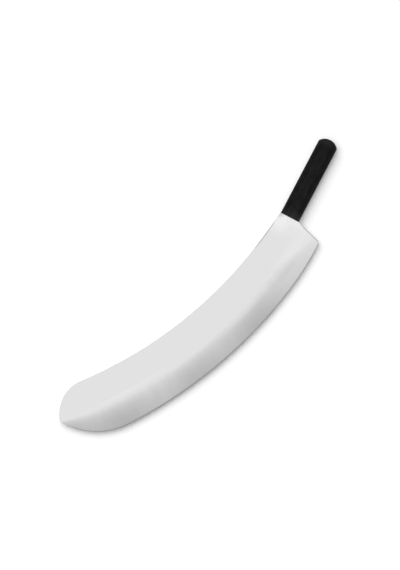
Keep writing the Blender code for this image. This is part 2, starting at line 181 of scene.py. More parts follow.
# The blade's finishes in order: name, tone, roughness, and the width and depth of its grinding lines. The
# bevel's and the rim's darker tones are painted shade.
BLADE_FINISHES = (
    ("blade_satin", BLADE_TONE, SATIN_ROUGHNESS, 0.00016, 2.0e-7),
    ("blade_ground", BLADE_TONE, GROUND_ROUGHNESS, 0.00022, 4.0e-7),
    ("cutting_bevel", BEVEL_SHADE_TONE, SATIN_ROUGHNESS, 0.00010, 3.0e-7),
    ("blade_rim", RIM_SHADE_TONE, GROUND_ROUGHNESS, 0.00018, 4.0e-7),
)
LINE_LENGTH = 0.018             # of a grinding line, square to the edge
LINE_CONTRAST = 0.01
LINE_NOISE = (0.2, 0.8)
COARSE_RATIO = 5                # how much wider the coarse lines are
COARSE_LENGTH = 0.04
COARSE_DEPTH = 0.6              # as a share of the fine lines' depth

PLASTIC_TONE = 0.001
PLASTIC_MOTTLE = 0.004          # what the lightest soft blotches add
MOTTLE_SIZE = (0.016, 0.007)    # along the handle and across it
MOTTLE_NOISE = (0.35, 0.7)
MOTTLE_DEPTH = 2.0              # as a multiple of the grain's depth
PLASTIC_END_HIGHLIGHT = 0.017            # what the painted highlight adds at the front end
FRONT_HIGHLIGHT_RUN = 0.018
FRONT_HIGHLIGHT_SPREAD = (-0.012, 0.012)     # from the handle's middle line towards the spine
FRONT_HIGHLIGHT_LEAST = 0.35         # share of it on the spine's side
# a weaker painted highlight at the butt
BUTT_HIGHLIGHT = PLASTIC_END_HIGHLIGHT / 4
BUTT_HIGHLIGHT_FADE = (HANDLE_LENGTH - 0.014, HANDLE_LENGTH - 0.004)     # from the handle's front end
PLASTIC_ROUGHNESS = 0.36
PLASTIC_ROUGHNESS_SPREAD = 0.04
PLASTIC_SPECULAR = 0.15
GRAIN_SIZE = 0.0006
GRAIN_DEPTH = 0.000004
GRAIN_NOISE = (0.3, 0.7)

PIN_TONES = (0.52, 0.58)
PIN_ROUGHNESSES = (0.28, 0.36)
PIN_LINE_WIDTH = 0.0002
PIN_LINE_DEPTH = 0.000002
PIN_LINE_STRENGTH = 0.6
PIN_NOISE = (0.3, 0.7)

# Camera and light. The picture looks straight down, turned so that the handle points up and to the right.
CAMERA_TURN = math.radians(-34.61)
CAMERA_TARGET = Vector((0.00136, 0.02132, 0.0113))
CAMERA_DISTANCE = 12.0
FRAME_LONG_SIDE = 0.9149        # metres across the picture's long side, at the blade
SENSOR = 36.0
KEY_ELEVATION = math.radians(60)
KEY_BEARING = math.radians(122)     # of the key light, anticlockwise from the picture's right
KEY_ANGLE = math.radians(60)
KEY_STRENGTH = 2.2
ROOM_LEVEL = 0.33               # light from the room
ROOM_SHEEN = 0.55               # how light the room looks in a reflection
BOX_LEAN = math.radians(6)      # overhead box light's middle, from straight up towards the spine's side
BOX_HALF_LENGTH = math.radians(30)  # along the handle
BOX_HALF_WIDTH = math.radians(8)    # across it
BOX_FADE = 2.25                 # where the box light ends, as a multiple of its full part
HORIZON_LOW = 0.20              # z of a direction up to which reflections show white surroundings
HORIZON_HIGH = 0.60             # and from which they show none
FLOOR_COLOUR = 0.9
FLOOR_GLOW = 0.1
FLOOR_SIZE = 60.0


def smooth_step(value):
    """Gives a soft rise from 0 to 1 as the value goes from 0 to 1, held at both ends."""
    share = min(1.0, max(0.0, value))
    return share * share * (3 - 2 * share)


def mix(start, end, share):
    """Gives the value at a share of the way from start to end."""
    return start + (end - start) * share


def right_of(direction):
    """Gives a direction turned by a quarter to the right."""
    return Vector((direction.y, -direction.x))


def direction_at(points, index):
    """Gives the direction in which a row of points runs at one of them."""
    before = points[max(index - 1, 0)]
    after = points[min(index + 1, len(points) - 1)]
    return (after - before).normalized()


def circles_meet(centre_a, radius_a, centre_b, radius_b):
    """Gives the crossing of two circles that lies to the right of the line from a to b."""
    line = centre_b - centre_a
    distance = line.length
    along = (radius_a ** 2 - radius_b ** 2 + distance ** 2) / (2 * distance)
    aside = math.sqrt(radius_a ** 2 - along ** 2)
    forward = line / distance
    return centre_a + forward * along + right_of(forward) * aside


def arc(centre, start, end, steps):
    """Gives points along the shorter arc from start to end, both included."""
    first = start - centre
    turn = first.angle_signed(end - centre)
    points = []
    for step in range(steps + 1):
        angle = -turn * step / steps
        cosine = math.cos(angle)
        sine = math.sin(angle)
        turned = Vector((first.x * cosine - first.y * sine, first.x * sine + first.y * cosine))
        points.append(centre + turned)
    return points


def curve_point(start, corner, end, share):
    """Gives a point of the curve that leaves start towards a corner and comes from it to end."""
    return start * (1 - share) ** 2 + corner * 2 * share * (1 - share) + end * share ** 2


def rounded_corner(corner, towards_a, towards_b, radius):
    """Gives points round a corner, from radius before it towards a to radius past it towards b."""
    start = corner + (towards_a - corner).normalized() * radius
    end = corner + (towards_b - corner).normalized() * radius
    return [curve_point(start, corner, end, step / CORNER_STEPS) for step in range(CORNER_STEPS + 1)]


def butt_arc():
    """Gives the arched butt from its lower corner to its upper one, in the handle's own frame."""
    half = HANDLE_WIDTH / 2
    corner_reach = HANDLE_LENGTH - BUTT_CROWN
    centre = Vector((BUTT_CENTRE, 0))
    return arc(centre, Vector((corner_reach, -half)), Vector((corner_reach, half)), BUTT_STEPS)


def pin_stations():
    """Gives the pins' distances from the handle's front end."""
    last = HANDLE_LENGTH - REAR_PIN_INSET
    spacing = (last - FRONT_PIN_INSET) / (PIN_COUNT - 1)
    return [FRONT_PIN_INSET + spacing * index for index in range(PIN_COUNT)]


class Outline:
    """The knife's plan in the blade's own plane, with the tip corner at (0, 0), as in the CAD source."""

    def __init__(self):
        self.tip = Vector((0, 0))
        self.edge_centre = Vector((BELLY_STATION, EDGE_RADIUS - BELLY_DROP))
        rise = math.sqrt(EDGE_RADIUS ** 2 - (BLADE_LENGTH - BELLY_STATION) ** 2)
        self.heel = Vector((BLADE_LENGTH, self.edge_centre.y - rise + HEEL_LIFT))

        self.along = Vector((math.cos(HANDLE_ANGLE), math.sin(HANDLE_ANGLE)))
        self.across = Vector((-self.along.y, self.along.x))
        self.lower_corner = self.heel + Vector((-HEEL_RAKE, HEEL_HEIGHT))
        self.upper_corner = self.lower_corner + self.across * HANDLE_WIDTH
        self.handle_front = (self.lower_corner + self.upper_corner) / 2
        self.back = (self.lower_corner - self.heel).normalized()

        dip = Vector((SPINE_DIP_STATION, BLADE_WIDTH - BELLY_DROP))
        reach = self.upper_corner - dip
        self.spine_radius = (reach.length_squared - NECK_LENGTH ** 2) / (2 * reach.y)
        self.spine_centre = dip + Vector((0, self.spine_radius))
        self.neck_start = circles_meet(self.spine_centre, self.spine_radius, self.upper_corner, NECK_LENGTH)

        touching = self.spine_radius + NOSE_RADIUS
        self.nose_centre = circles_meet(self.tip, NOSE_RADIUS, self.spine_centre, touching)
        spine_to_nose = (self.nose_centre - self.spine_centre).normalized()
        self.spine_start = self.spine_centre + spine_to_nose * self.spine_radius

        inner = EDGE_RADIUS - FORE_EDGE_RADIUS
        self.fore_centre = circles_meet(self.tip, FORE_EDGE_RADIUS, self.edge_centre, inner)
        sweep_direction = (self.fore_centre - self.edge_centre).normalized()
        self.sweep_start = self.edge_centre + sweep_direction * EDGE_RADIUS

        inner = EDGE_RADIUS - AFT_EDGE_RADIUS
        self.aft_centre = circles_meet(self.edge_centre, inner, self.heel, AFT_EDGE_RADIUS)
        sweep_direction = (self.aft_centre - self.edge_centre).normalized()
        self.sweep_end = self.edge_centre + sweep_direction * EDGE_RADIUS

    def edge(self):
        """Gives the cutting edge from the tip corner to the start of the heel corner's rounding."""
        fore = arc(self.fore_centre, self.tip, self.sweep_start, FORE_EDGE_STEPS)
        sweep = arc(self.edge_centre, self.sweep_start, self.sweep_end, EDGE_STEPS)
        aft = arc(self.aft_centre, self.sweep_end, self.heel, AFT_EDGE_STEPS)
        points = fore[:-1] + sweep[:-1] + aft
        return [point for point in points if (point - self.heel).length > HEEL_CORNER_RADIUS]

    def heel_back(self, grind_end):
        """Gives the blade's slightly hollow back, from the grind's end up to the handle."""
        half = (self.lower_corner - grind_end).length / 2
        height = math.sqrt(HEEL_HOLLOW_RADIUS ** 2 - half ** 2)
        line = (self.lower_corner - grind_end).normalized()
        centre = (self.lower_corner + grind_end) / 2 + right_of(line) * height
        return arc(centre, grind_end, self.lower_corner, HEEL_STEPS)

    def on_handle(self, x, y):
        """Takes a point from the handle's own frame, +X from its front end to the butt, to the blade's."""
        return self.handle_front + self.along * x + self.across * y

    def tang(self):
        """Gives the tang from just past the handle's lower front corner, round the butt, to its upper one."""
        half = HANDLE_WIDTH / 2
        lower_front, upper_front = Vector((TANG_EASE_RUN, -half)), Vector((TANG_EASE_RUN, half))
        butt = butt_arc()
        lower_round = rounded_corner(butt[0], lower_front, butt[1], RIM_ROUND)
        upper_round = rounded_corner(butt[-1], butt[-2], upper_front, RIM_ROUND)
        inner = [point for point in butt if abs(point.y) < abs(lower_round[-1].y)]
        points = [lower_front] + lower_round + inner + upper_round + [upper_front]
        return [self.on_handle(point.x, point.y) for point in points]

    def neck(self):
        """Gives the straight neck from the handle's upper front corner to the spine's arc."""
        return [self.upper_corner.lerp(self.neck_start, step / NECK_STEPS) for step in range(NECK_STEPS + 1)]

    def spine(self):
        """Gives the spine's arc from the neck to the nose."""
        return arc(self.spine_centre, self.neck_start, self.spine_start, SPINE_STEPS)

    def nose(self):
        """Gives the nose from the spine down to the tip corner."""
        return arc(self.nose_centre, self.spine_start, self.tip, NOSE_STEPS)


def grind_width(reached, total):
    """Gives the ground face's width after a length of edge from the tip corner."""
    rise = math.sin(math.pi / 2 * min(1.0, reached / GRIND_RISE_LENGTH)) ** GRIND_RISE_POWER
    width = mix(GRIND_WIDTH_FORE, GRIND_WIDTH_AFT, smooth_step(reached / GRIND_TAPER_LENGTH))
    return mix(width, GRIND_WIDTH_HEEL, runout(reached, total)) * rise


def runout(reached, total):
    """Gives how far the grind has narrowed towards the heel, from 0 to 1."""
    return smooth_step(1 - (total - reached) / GRIND_RUNOUT_LENGTH)


def grind_depth(width, reached, total):
    """Gives how deep a ground face of that width is next to the cutting bevel."""
    fade = GRIND_HEEL_FADE * smooth_step(1 - (total - reached) / GRIND_FADE_LENGTH)
    return FULL_GRIND_DEPTH * (1 - fade) * min(1.0, width / GRIND_WIDTH_AFT) ** GRIND_DEPTH_POWER


def ground_section(point, inward, width, depth, reached):
    """Gives a section of the ground face and its cutting bevel, from the grind line down.

    A section is a list of (plan point, height above the middle plane).
    """
    bevel_width = min(CUTTING_BEVEL_WIDTH * smooth_step(reached / TIP_BEVEL_RISE), width / 2)
    bevel_depth = CUTTING_BEVEL_DEPTH * bevel_width / CUTTING_BEVEL_WIDTH
    section = []
    for step in range(GRIND_STEPS + 1):
        share = step / GRIND_STEPS
        place = point + inward * (width - (width - bevel_width) * share)
        section.append((place, HALF_BLADE - depth * share ** GRIND_CURVE_POWER))
    section.append((point, max(EDGE_THICKNESS / 2, HALF_BLADE - depth - bevel_depth)))
    return section


def ground_sections(outline):
    """Gives the sections from the tip corner to the heel, the last ones rounded over at the blade's back."""
    edge = outline.edge()
    lengths = [0.0]
    for before, after in zip(edge, edge[1:]):
        lengths.append(lengths[-1] + (after - before).length)
    total = lengths[-1] + (outline.heel - edge[-1]).length
    sections = []
    for index, point in enumerate(edge):
        left = -right_of(direction_at(edge, index))
        inward = left.lerp(outline.back, runout(lengths[index], total)).normalized()
        width = grind_width(lengths[index], total)
        depth = grind_depth(width, lengths[index], total)
        sections.append(ground_section(point, inward, width, depth, lengths[index]))
    return sections + heel_sections(outline, edge[-1])


def heel_step(step, ease, reach):
    """Gives how far inside the blade's back a step round the heel corner lies, and how far it rolls down.

    The first steps go round the corner, and the others roll over at the back.
    """
    if step < CORNER_STEPS:
        share = 1 - step / CORNER_STEPS
        return mix(ease, reach, share ** 2), 0.0
    angle = math.pi / 2 * (step - CORNER_STEPS) / EASE_STEPS
    return ease * (1 - math.sin(angle)), ease * (1 - math.cos(angle))


def heel_sections(outline, last_edge_point):
    """Gives the sections round the heel corner, which roll over at the blade's back."""
    forward = (outline.heel - last_edge_point).normalized()
    outward = right_of(outline.back)
    start = outline.heel - forward * HEEL_CORNER_RADIUS
    end = outline.heel + outline.back * HEEL_CORNER_RADIUS
    reach = (outline.heel - start).dot(outward)
    depth = grind_depth(GRIND_WIDTH_HEEL, 0, 0)
    plain = ground_section(outline.heel, outline.back, GRIND_WIDTH_HEEL, depth, TIP_BEVEL_RISE)
    sections = []
    for step in range(CORNER_STEPS + EASE_STEPS + 1):
        section = []
        for place, height in plain:
            inset, drop = heel_step(step, min(NECK_EASE, height * HEEL_EASE_SHARE), reach)
            corner = curve_point(start, outline.heel, end, 1 - math.sqrt(inset / reach))
            section.append((corner + (place - outline.heel), height - drop))
        sections.append(section)
    return sections


def neck_rounding(reached):
    """Gives how much of the neck's extra rounding the spine has at a length from the handle, from 0 to 1."""
    start, full = NECK_EASE_START
    fades, end = NECK_EASE_END
    return smooth_step((reached - start) / (full - start)) * smooth_step((end - reached) / (end - fades))


def rim_columns(outline, grind_end):
    """Gives the flat's rim from the grind's end to the nose: (plan point, outward direction, rounding)."""
    back = outline.heel_back(grind_end)[1:]
    tang = outline.tang()
    neck = outline.neck()
    spine = outline.spine()[1:]
    nose = outline.nose()[1:-1]
    points = back + tang + neck + spine + nose
    easings = []
    for point in back:
        share = smooth_step((point - outline.lower_corner).length / BACK_EASE_RUN)
        easings.append(mix(TANG_EASE, NECK_EASE, share))
    easings += [TANG_EASE] * len(tang)
    reached = 0.0
    before = neck[0]
    for point in neck + spine:
        reached += (point - before).length
        before = point
        easings.append(mix(SPINE_EASE, NECK_EASE, neck_rounding(reached)))
    for point in nose:
        share = min(1.0, (point - outline.tip).length / TIP_EASE_RUN)
        easings.append(mix(TIP_EASE, SPINE_EASE, share))
    path = [grind_end] + points + [outline.tip]
    outward = [right_of(direction_at(path, index + 1)) for index in range(len(points))]
    return list(zip(points, outward, easings))


def rounded_column(point, outward, ease):
    """Gives the points of a rounded edge, from the flat out to the side and down to the middle plane."""
    column = []
    for step in range(EASE_STEPS + 1):
        angle = math.pi / 2 * step / EASE_STEPS
        place = point - outward * ease * (1 - math.sin(angle))
        column.append(place.to_3d() + Vector((0, 0, HALF_BLADE - ease * (1 - math.cos(angle)))))
    column.append(point.to_3d())
    return column


def bridge(builder, first, second, material):
    """Joins two rows of vertices by a strip, a quad at a time, with triangles where one row is longer."""
    here = there = 0
    here_end = len(first) - 1
    there_end = len(second) - 1
    while here < here_end or there < there_end:
        is_behind = (here + 1) * there_end <= (there + 1) * here_end
        if here_end == there_end:
            corners = [first[here], first[here + 1], second[there + 1], second[there]]
            here += 1
            there += 1
        elif there == there_end or (here < here_end and is_behind):
            corners = [first[here], first[here + 1], second[there]]
            here += 1
        else:
            corners = [first[here], second[there + 1], second[there]]
            there += 1
        corners = list(dict.fromkeys(corners))
        if len(corners) > 2:
            face = builder.faces.new(corners)
            face.smooth = True
            face.material_index = material


def ground_rows(builder, sections):
    """Makes a row of vertices for each section, from the grind line down to the middle plane."""
    rows = []
    for section in sections:
        places = section + [(section[-1][0], 0.0)]
        rows.append([builder.verts.new((place.x, place.y, height)) for place, height in places])
    return rows


def join_ground_rows(builder, rows):
    """Makes the faces of the ground face and the cutting bevel, and those that roll over at the heel."""
    for number, (row, following) in enumerate(zip(rows, rows[1:])):
        rolls_over = number >= len(rows) - 1 - EASE_STEPS
        for index in range(len(row) - 1):
            corners = (row[index], following[index], following[index + 1], row[index + 1])
            face = builder.faces.new(corners)
            face.smooth = True
            face.material_index = GROUND if index < GRIND_STEPS else BEVEL
            if rolls_over:
                face.material_index = RIM


def half_blade(outline):
    """Gives the upper half of the blade and tang, open at its middle plane."""
    builder = bmesh.new()
    sections = ground_sections(outline)[1:]
    rows = ground_rows(builder, sections)
    back_feet = [builder.verts.new((place.x, place.y, 0.0)) for place, height in sections[-1][:-1]]
    back_feet.append(rows[-1][-1])

    columns = [[row[0] for row in rows[-EASE_STEPS - 1:]] + [back_feet[0]]]
    rim = rim_columns(outline, sections[-1][0][0])
    nose_direction = (outline.tip - outline.nose_centre).normalized()
    for point, outward, ease in rim + [(outline.tip, nose_direction, TIP_EASE)]:
        columns.append([builder.verts.new(place) for place in rounded_column(point, outward, ease)])
    tip = columns[-1]

    bridge(builder, rows[0][:-1], tip[:1], GROUND)
    side = builder.faces.new(tip + [rows[0][-1], rows[0][-2]])
    side.material_index = BEVEL
    join_ground_rows(builder, rows)
    bridge(builder, rows[-1][:-1], back_feet, RIM)
    for first, second in zip(columns, columns[1:]):
        bridge(builder, first, second, RIM)

    creases = [(tip[0], rows[0][-2])] + list(zip(tip, tip[1:]))
    for place in (GRIND_STEPS, GRIND_STEPS + 1):
        creases += [(row[place], following[place]) for row, following in zip(rows, rows[1:])]
    for pair in creases:
        builder.edges.get(pair).smooth = False
    flat = [tip[0]] + [row[0] for row in rows[:-EASE_STEPS]] + [column[0] for column in columns[1:-1]]
    face = builder.faces.new(flat)
    face.material_index = SATIN
    return finished_mesh(builder, "blade_finished")


def finished_mesh(builder, name):
    """Turns all faces outwards and gives the mesh."""
    bmesh.ops.recalc_face_normals(builder, faces=builder.faces)
    mesh = bpy.data.meshes.new(name)
    builder.to_mesh(mesh)
    builder.free()
    return mesh


def rim_insets():
    """Gives insets from a scale's outline that step evenly round its rounded rim."""
    return [RIM_ROUND * (1 - math.cos(math.pi / 2 * step / RIM_STEPS)) for step in range(RIM_STEPS)]


def half_handle_outline():
    """Gives the handle's plan from its lower front corner round the butt: (point, x of its anchor).

    A point's anchor is the place on the handle's middle line that its spoke of vertices runs to.
    """
    half = HANDLE_WIDTH / 2
    shares = [(step / HANDLE_STEPS) ** HANDLE_STEP_GROWTH for step in range(HANDLE_STEPS + 1)]
    lower = []
    for x in rim_insets() + [mix(RIM_ROUND, BUTT_CENTRE, share) for share in shares]:
        short = max(0.0, FRONT_CORNER_ROUND - x)
        inset = FRONT_CORNER_ROUND - math.sqrt(FRONT_CORNER_ROUND ** 2 - short ** 2)
        lower.append((Vector((x, -half + inset)), x))
    butt = butt_arc()
    run = butt[0].x - RIM_ROUND - BUTT_CENTRE
    side_stations = [BUTT_CENTRE + run * step / BUTT_SIDE_STEPS for step in range(1, BUTT_SIDE_STEPS)]
    side = [Vector((x, -half)) for x in side_stations]
    corner = rounded_corner(butt[0], side[0], butt[1], RIM_ROUND)
    far_corner = rounded_corner(butt[-1], butt[-2], Vector((side[0].x, half)), RIM_ROUND)
    inner = [point for point in butt if abs(point.y) < abs(corner[-1].y)]
    far_side = [Vector((point.x, half)) for point in reversed(side)]
    round_end = [(point, BUTT_CENTRE) for point in side + corner + inner + far_corner + far_side]
    upper = [(Vector((point.x, -point.y)), x) for point, x in reversed(lower)]
    return lower + round_end + upper


def scale_height(place, inset):
    """Gives a scale's height above the blade's middle plane at a place, that far inside its outline."""
    run = HANDLE_WIDTH / 2 - LAND_WIDTH / 2
    fall = SCALE_THICKNESS - SIDE_HEIGHT
    crown_radius = (run ** 2 + fall ** 2) / (2 * fall)
    side = min(run, max(0.0, abs(place.y) - LAND_WIDTH / 2))
    height = HALF_HANDLE - crown_radius + math.sqrt(crown_radius ** 2 - side ** 2)
    height -= FRONT_ROLL_DROP * max(0.0, 1 - place.x / FRONT_ROLL_LENGTH) ** 2
    to_butt = BUTT_ROLL_LENGTH
    if place.x > BUTT_CENTRE:
        to_butt = BUTT_RADIUS - (place - Vector((BUTT_CENTRE, 0))).length
    height -= BUTT_ROLL_DROP * max(0.0, 1 - to_butt / BUTT_ROLL_LENGTH) ** 2
    from_side = max(0.0, RIM_ROUND - inset)
    from_front = max(0.0, RIM_ROUND - place.x)
    past = min(RIM_ROUND, math.hypot(from_side, from_front))
    return height - RIM_ROUND + math.sqrt(RIM_ROUND ** 2 - past ** 2)


def scale_spokes(builder):
    """Makes the vertices of a scale's top in spokes, each from the outline to its anchor."""
    outline = half_handle_outline()
    points = [point for point, anchor_x in outline]
    anchors = {}
    spokes = []
    for index, (point, anchor_x) in enumerate(outline):
        anchor = Vector((anchor_x, 0))
        if anchor_x < BUTT_CENTRE:
            reach = abs(point.y)
        else:
            reach = (point - anchor).dot(right_of(direction_at(points, index)))
        crown = [RIM_ROUND + (reach - RIM_ROUND) * step / CROWN_STEPS for step in range(CROWN_STEPS)]
        spoke = []
        for inset in rim_insets() + crown:
            place = point.lerp(anchor, inset / reach)
            spoke.append(builder.verts.new((place.x, place.y, scale_height(place, inset))))
        if anchor_x not in anchors:
            anchors[anchor_x] = builder.verts.new((anchor_x, 0, scale_height(anchor, HANDLE_WIDTH / 2)))
        spokes.append(spoke + [anchors[anchor_x]])
    return spokes


def scale_mesh():
    """Gives a scale in the handle's own frame, with z = 0 on the blade's middle plane."""
    builder = bmesh.new()
    spokes = scale_spokes(builder)
    for first, second in zip(spokes, spokes[1:]):
        bridge(builder, first, second, 0)
    top = [spoke[0] for spoke in spokes] + spokes[-1][1:] + spokes[0][-2:0:-1]
    feet = [builder.verts.new((vert.co.x, vert.co.y, HALF_BLADE + SEAM_GAP)) for vert in top]
    for index, vert in enumerate(top):
        following = (index + 1) % len(top)
        face = builder.faces.new((vert, top[following], feet[following], feet[index]))
        face.smooth = True
    builder.faces.new(feet)
    for index, foot in enumerate(feet):
        builder.edges.get((foot, feet[(index + 1) % len(feet)])).smooth = False
    return finished_mesh(builder, "handle_scale_finished")


def pin_cutter(place, name):
    """Makes a cylinder that cuts the hole of one pin, centred on the blade's middle plane."""
    builder = bmesh.new()
    radius = PIN_RADIUS + FIT_GAP
    depth = 2 * (HALF_HANDLE - PIN_COVER)
    bmesh.ops.create_cone(builder, cap_ends=True, segments=PIN_SIDES, radius1=radius, radius2=radius,
                          depth=depth)
    mesh = bpy.data.meshes.new(name)
    builder.to_mesh(mesh)
    builder.free()
    cutter = bpy.data.objects.new(name, mesh)
    bpy.context.scene.collection.objects.link(cutter)
    cutter.location = (place.x, place.y, 0)
    return cutter


def finished_piece(name, mesh, places, is_half, turn):
    """Mirrors the mesh if it is a half, cuts the pins' holes at these places, and gives it turned."""
    blank = bpy.data.objects.new(name + "_blank", mesh)
    bpy.context.scene.collection.objects.link(blank)
    if is_half:
        mirror = blank.modifiers.new("other_side", "MIRROR")
        mirror.use_axis = (False, False, True)
        mirror.merge_threshold = MERGE_DISTANCE
    cutters = [pin_cutter(place, f"{name}_cutter_{index}") for index, place in enumerate(places)]
    for cutter in cutters:
        cut = blank.modifiers.new(cutter.name, "BOOLEAN")
        cut.operation = "DIFFERENCE"
        cut.solver = "EXACT"
        cut.object = cutter
    bpy.context.view_layer.update()
    evaluated = blank.evaluated_get(bpy.context.evaluated_depsgraph_get())
    finished = bpy.data.meshes.new_from_object(evaluated)
    finished.name = name
    finished.transform(turn)
    for item in cutters + [blank]:
        bpy.data.objects.remove(item, do_unlink=True)
    piece = bpy.data.objects.new(name, finished)
    bpy.context.scene.collection.objects.link(piece)
    return piece


class Tree:
    """A node tree, with short calls for adding nodes. A value is a number or another node's socket."""

    def __init__(self, tree):
        self.nodes = tree.nodes
        self.links = tree.links

    def set(self, node, inputs):
        """Links or sets a node's inputs, each by its name or place."""
        for name, value in inputs.items():
            if isinstance(value, bpy.types.NodeSocket):
                self.links.new(value, node.inputs[name])
            else:
                node.inputs[name].default_value = value

    def add(self, kind, inputs=None, **settings):
        """Adds a node and gives it."""
        node = self.nodes.new(kind)
        for name, value in settings.items():
            setattr(node, name, value)
        self.set(node, inputs or {})
        return node

    def math(self, operation, *values):
        """Gives the result of an operation on these values."""
        return self.add("ShaderNodeMath", dict(enumerate(values)), operation=operation).outputs[0]

    def hypotenuse(self, first, second):
        """Gives the root of the sum of two squares."""
        squares = [self.math("MULTIPLY", value, value) for value in (first, second)]
        return self.math("SQRT", self.math("ADD", *squares))

    def vector(self, **parts):
        """Gives a vector of these parts, and 0 for the others."""
        return self.add("ShaderNodeCombineXYZ", parts).outputs["Vector"]

    def parts(self, vector):
        """Gives a vector's parts X, Y and Z."""
        return self.add("ShaderNodeSeparateXYZ", {"Vector": vector}).outputs

    def place(self, kind="Object"):
        """Gives the place on the object, or another of the texture coordinates."""
        return self.add("ShaderNodeTexCoord").outputs[kind]

    def ramp(self, value, low, high, start, end, kind="SMOOTHSTEP"):
        """Takes a value from low..high to start..end, held at both ends."""
        inputs = {"Value": value, "From Min": low, "From Max": high, "To Min": start, "To Max": end}
        return self.add("ShaderNodeMapRange", inputs, interpolation_type=kind).outputs["Result"]

    def noise(self, vector, scale, detail=2.0, roughness=0.5):
        """Gives noise around 0.5."""
        inputs = {"Vector": vector, "Scale": scale, "Detail": detail, "Roughness": roughness}
        return self.add("ShaderNodeTexNoise", inputs).outputs["Fac"]

    def bump(self, height, depth, strength=1.0):
        """Gives the normal of a surface with that relief."""
        inputs = {"Strength": strength, "Distance": depth, "Height": height}
        return self.add("ShaderNodeBump", inputs).outputs["Normal"]

    def grey(self, value):
        """Gives a grey of that tone."""
        channels = {"Red": value, "Green": value, "Blue": value}
        return self.add("ShaderNodeCombineColor", channels).outputs["Color"]


def new_material(name):
    """Gives a material, its tree and its shader."""
    material = bpy.data.materials.new(name)
    material.use_nodes = True
    tree = Tree(material.node_tree)
    return material, tree, material.node_tree.nodes["Principled BSDF"]


def edge_coordinates(tree, split, outline):
    """Gives metres along the edge's long sweep, from its lowest point, and metres from the sweep's centre."""
    across = tree.math("SUBTRACT", split["X"], outline.edge_centre.x)
    down = tree.math("SUBTRACT", outline.edge_centre.y, split["Y"])
    along = tree.math("MULTIPLY", tree.math("ARCTAN2", across, down), EDGE_RADIUS)
    return along, tree.hypotenuse(across, down)


def length_towards(tree, split, origin, direction):
    """Gives the length from an origin in a direction of the blade's plane."""
    x = tree.math("MULTIPLY", tree.math("SUBTRACT", split["X"], origin.x), direction.x)
    y = tree.math("MULTIPLY", tree.math("SUBTRACT", split["Y"], origin.y), direction.y)
    return tree.math("ADD", x, y)


def neck_painted_highlight(tree, split, along, radius, outline):
    """Gives the painted highlight by the handle, along the neck and above the grind's end."""
    from_handle = length_towards(tree, split, outline.handle_front, outline.along)
    from_middle = length_towards(tree, split, outline.handle_front, outline.across)
    near = tree.ramp(from_handle, *NEAR_FADE, 0.0, NEAR_PAINTED_HIGHLIGHT)
    neck = tree.math("MULTIPLY", tree.ramp(from_handle, *NECK_FADE, 0.0, NECK_PAINTED_HIGHLIGHT),
                     tree.ramp(from_middle, *NECK_SPREAD, NECK_LOW_SHARE, 1.0))
    above = tree.math("MULTIPLY", tree.ramp(radius, *RIDGE_RISE, 0.0, 1.0),
                      tree.ramp(radius, *RIDGE_FALL, 1.0, 0.0))
    ridge = tree.math("MULTIPLY", above, tree.ramp(along, *RIDGE_FADE, 0.0, RIDGE_PAINTED_HIGHLIGHT))
    return tree.math("MAXIMUM", near, tree.math("MAXIMUM", neck, ridge))


def soft_spots_and_painted_light(tree, along, radius):
    """Gives how much brighter the soft spots make the steel, among them a painted highlight and a painted
    shade.
    """
    inset = tree.math("SUBTRACT", EDGE_RADIUS, radius)
    total = 0.0
    for spot_along, spot_inset, half_length, half_width, brightening in SPOTS:
        lengthwise = tree.math("DIVIDE", tree.math("SUBTRACT", along, spot_along), half_length)
        crosswise = tree.math("DIVIDE", tree.math("SUBTRACT", inset, spot_inset), half_width)
        distance = tree.hypotenuse(lengthwise, crosswise)
        total = tree.math("ADD", tree.ramp(distance, 0.0, 1.0, brightening, 0.0), total)
    return total


def streaks(tree, along, radius, width, length, detail=2.0):
    """Gives noise drawn out into lines square to the cutting edge, that wide and long in metres."""
    vector = tree.vector(X=tree.math("DIVIDE", along, width), Y=tree.math("DIVIDE", radius, length))
    return tree.noise(vector, 1.0, detail)


def bevel_painted_shade(tree, along, tone):
    """Makes the cutting bevel's painted shade lighter towards the tip and the heel."""
    return tree.math("MAXIMUM", tree.ramp(along, *BEVEL_TIP_FADE, BEVEL_END_SHADE_TONE, tone),
                     tree.ramp(along, *BEVEL_HEEL_FADE, tone, BEVEL_END_SHADE_TONE))


def ground_dulling_and_shade(tree, brightness, split, along, radius):
    """Darkens the ground face the deeper it is ground, partly as a duller finish and partly as painted shade,
    with soft bands along its length and faint patches.
    """
    depth = tree.math("SUBTRACT", HALF_BLADE, tree.math("ABSOLUTE", split["Z"]))
    depth = tree.math("MAXIMUM", depth, 0.0)
    half_depth = tree.ramp(along, *HEEL_FADE, GROUND_HALF_DEPTH, HEEL_HALF_DEPTH)
    share = tree.math("DIVIDE", depth, tree.math("ADD", depth, half_depth))
    most = tree.math("MULTIPLY", tree.ramp(along, *TIP_FADE, TIP_DULLING_AND_SHADE, 1.0),
                     tree.ramp(along, *HEEL_FADE, GROUND_DULLING_AND_SHADE, GROUND_DULLING_AND_SHADE * HEEL_DULLING_AND_SHADE))
    turn = tree.math("MULTIPLY", tree.math("SUBTRACT", along, BAND_START), 2 * math.pi / BAND_SPACING)
    bands = tree.math("MULTIPLY", tree.math("COSINE", turn), BAND_CONTRAST)
    most = tree.math("MULTIPLY", most, tree.math("ADD", bands, 1.0))
    kept = tree.math("SUBTRACT", 1.0, tree.math("MULTIPLY", share, most))
    patches = streaks(tree, along, radius, *PATCH_SIZE, detail=1.0)
    patchiness = tree.ramp(patches, *PATCH_NOISE, 1 - PATCH_TONE, 1 + PATCH_TONE)
    return tree.math("MULTIPLY", tree.math("MULTIPLY", brightness, kept), patchiness)


